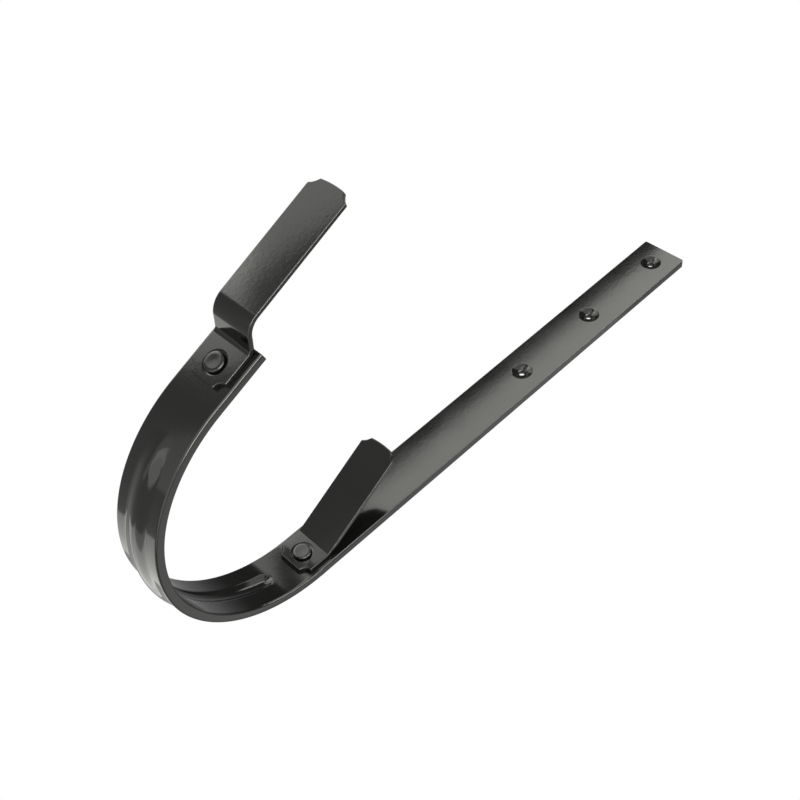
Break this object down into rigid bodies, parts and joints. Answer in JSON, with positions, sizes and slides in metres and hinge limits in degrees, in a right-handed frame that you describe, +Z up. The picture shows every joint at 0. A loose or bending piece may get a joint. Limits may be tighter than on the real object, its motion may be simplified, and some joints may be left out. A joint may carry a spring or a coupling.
{
  "type": "gutter bracket",
  "caption": "Flat steel strap bent into a round gutter seat with a straight drilled shank; bent clips riveted at the front and back fold over the gutter's edges.",
  "frame": {"origin": "axis of the middle screw hole, on the shank's flat back face", "axes": "+Z up along the shank, +X out of the back face into the wall or rafter, so the gutter hangs on the -X side, and Y along the gutter"},
  "size_m": [0.2183, 0.03, 0.4065],
  "materials": {
    "strap_coat": "semi-gloss black powder coat on steel bar",
    "clip_coat": "semi-gloss black powder coat on steel sheet",
    "rivet_coat": "semi-gloss black powder coat on a steel rivet"
  },
  "bodies": {
    "root": {"strap": "strap_coat", "front_clip": "clip_coat", "rear_clip": "clip_coat", "front_rivet": "rivet_coat", "rear_rivet": "rivet_coat"}
  },
  "joints": []
}
